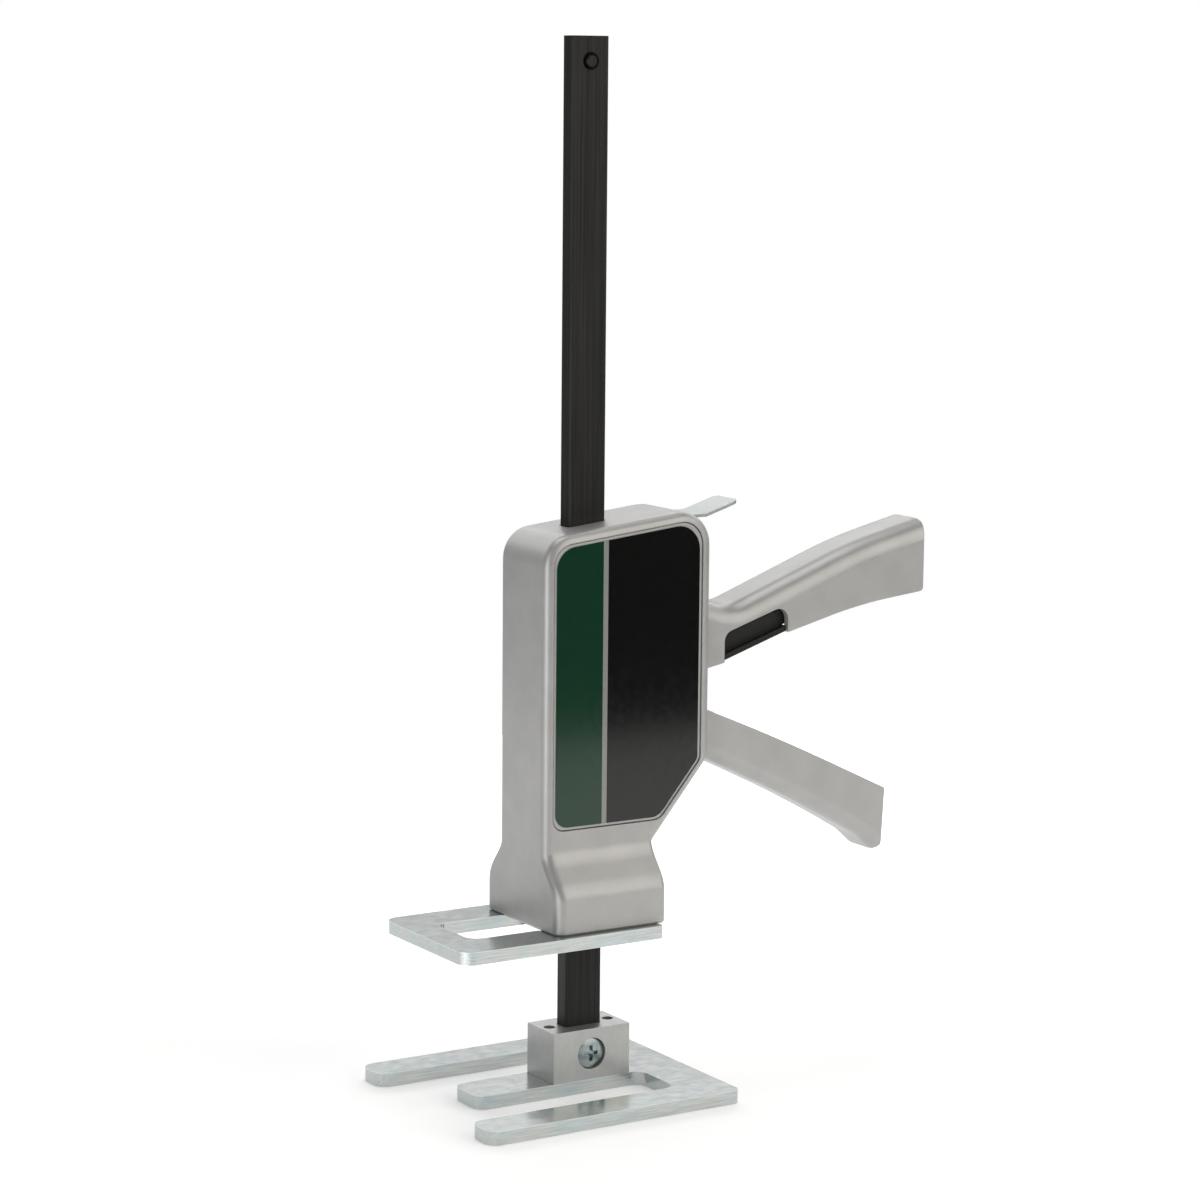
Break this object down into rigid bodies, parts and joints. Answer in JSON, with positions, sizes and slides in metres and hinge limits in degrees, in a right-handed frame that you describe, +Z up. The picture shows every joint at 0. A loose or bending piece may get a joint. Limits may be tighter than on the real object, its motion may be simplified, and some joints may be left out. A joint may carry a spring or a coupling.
{
  "type": "lever lifting jack",
  "caption": "Hand-held lever jack: a housing with a squeeze lever, lowering trigger and release tab climbs a flat steel bar on a pronged base and raises a forked lift plate.",
  "frame": {"origin": "on the ground under the bar's axis, on the base plate's underside", "axes": "+X from the prongs towards the handles, +Z up along the bar, label on the -Y side"},
  "size_m": [0.2027, 0.093, 0.368],
  "materials": {
    "cast": "silver-grey satin paint on a light-alloy casting",
    "zinc": "bright zinc plate with a faint blue tint",
    "block_steel": "satin nickel on steel",
    "black_steel": "black oxide, lightly oiled",
    "dark_plastic": "black, fine grain",
    "spring_steel": "hardened steel, as drawn or ground",
    "screw_zinc": "zinc plated screws",
    "label": "green and black fields with a pale divider, no lettering"
  },
  "bodies": {
    "base": {"base_plate": "zinc", "foot_block": "block_steel", "bar": "black_steel", "stop_pin": "black_steel", "clamp_screw": "screw_zinc", "base_screws": "screw_zinc"},
    "carriage": {"housing": "cast", "side_cover": "cast", "label_panel": "label", "cover_screws": "screw_zinc", "lift_plate": "zinc", "lift_plate_screws": "screw_zinc", "lever_pivot_pin": "spring_steel", "trigger_pivot_pin": "spring_steel", "drive_spring": "spring_steel", "lowering_spring": "spring_steel", "lock_spring": "spring_steel", "trigger_spring": "spring_steel"},
    "lever": {"squeeze_lever": "cast", "drive_pin": "spring_steel"},
    "drive": {"drive_plate_1": "spring_steel", "drive_plate_2": "spring_steel", "drive_plate_3": "spring_steel"},
    "lock": {"lock_plate_1": "spring_steel", "lock_plate_2": "spring_steel", "release_tab": "zinc"},
    "trigger": {"lowering_trigger": "dark_plastic"},
    "lowering": {"lowering_plate": "spring_steel"}
  },
  "joints": [
    {"name": "carriage_slide", "type": "slide", "parent": "base", "child": "carriage", "axis": [0, 0, 1], "range_m": [-0.0571, 0.1556]},
    {"name": "lever_squeeze", "type": "hinge", "parent": "carriage", "child": "lever", "pos_m": [0.028, 0, 0.128], "axis": [0, -1, 0], "range_deg": [0, 30], "stiffness_Nm_per_rad": 0.15, "springref_deg": -17.19},
    {"name": "drive_slide", "type": "slide", "parent": "carriage", "child": "drive", "axis": [0, 0, 1], "range_m": [-0.0076, 0.0001], "deforming": ["drive_spring"]},
    {"name": "lock_tilt", "type": "hinge", "parent": "carriage", "child": "lock", "pos_m": [-0.013, 0, 0.19091], "axis": [0, 1, 0], "range_deg": [0, 4.5], "stiffness_Nm_per_rad": 0.2, "springref_deg": -14.32, "deforming": ["lock_spring"]},
    {"name": "trigger_squeeze", "type": "hinge", "parent": "carriage", "child": "trigger", "pos_m": [0.034, 0, 0.16], "axis": [0, -1, 0], "range_deg": [0, 5], "stiffness_Nm_per_rad": 0.05, "springref_deg": -17.19, "deforming": ["trigger_spring"]},
    {"name": "lowering_slide", "type": "slide", "parent": "carriage", "child": "lowering", "axis": [0, 0, 1], "range_m": [-0.0014, 0.0001], "deforming": ["lowering_spring"]}
  ],
  "couplings": [
    {"joint": "drive_slide", "follows": "lever_squeeze", "m_per_rad": -0.0141},
    {"joint": "lowering_slide", "follows": "trigger_squeeze", "m_per_rad": -0.0141}
  ]
}
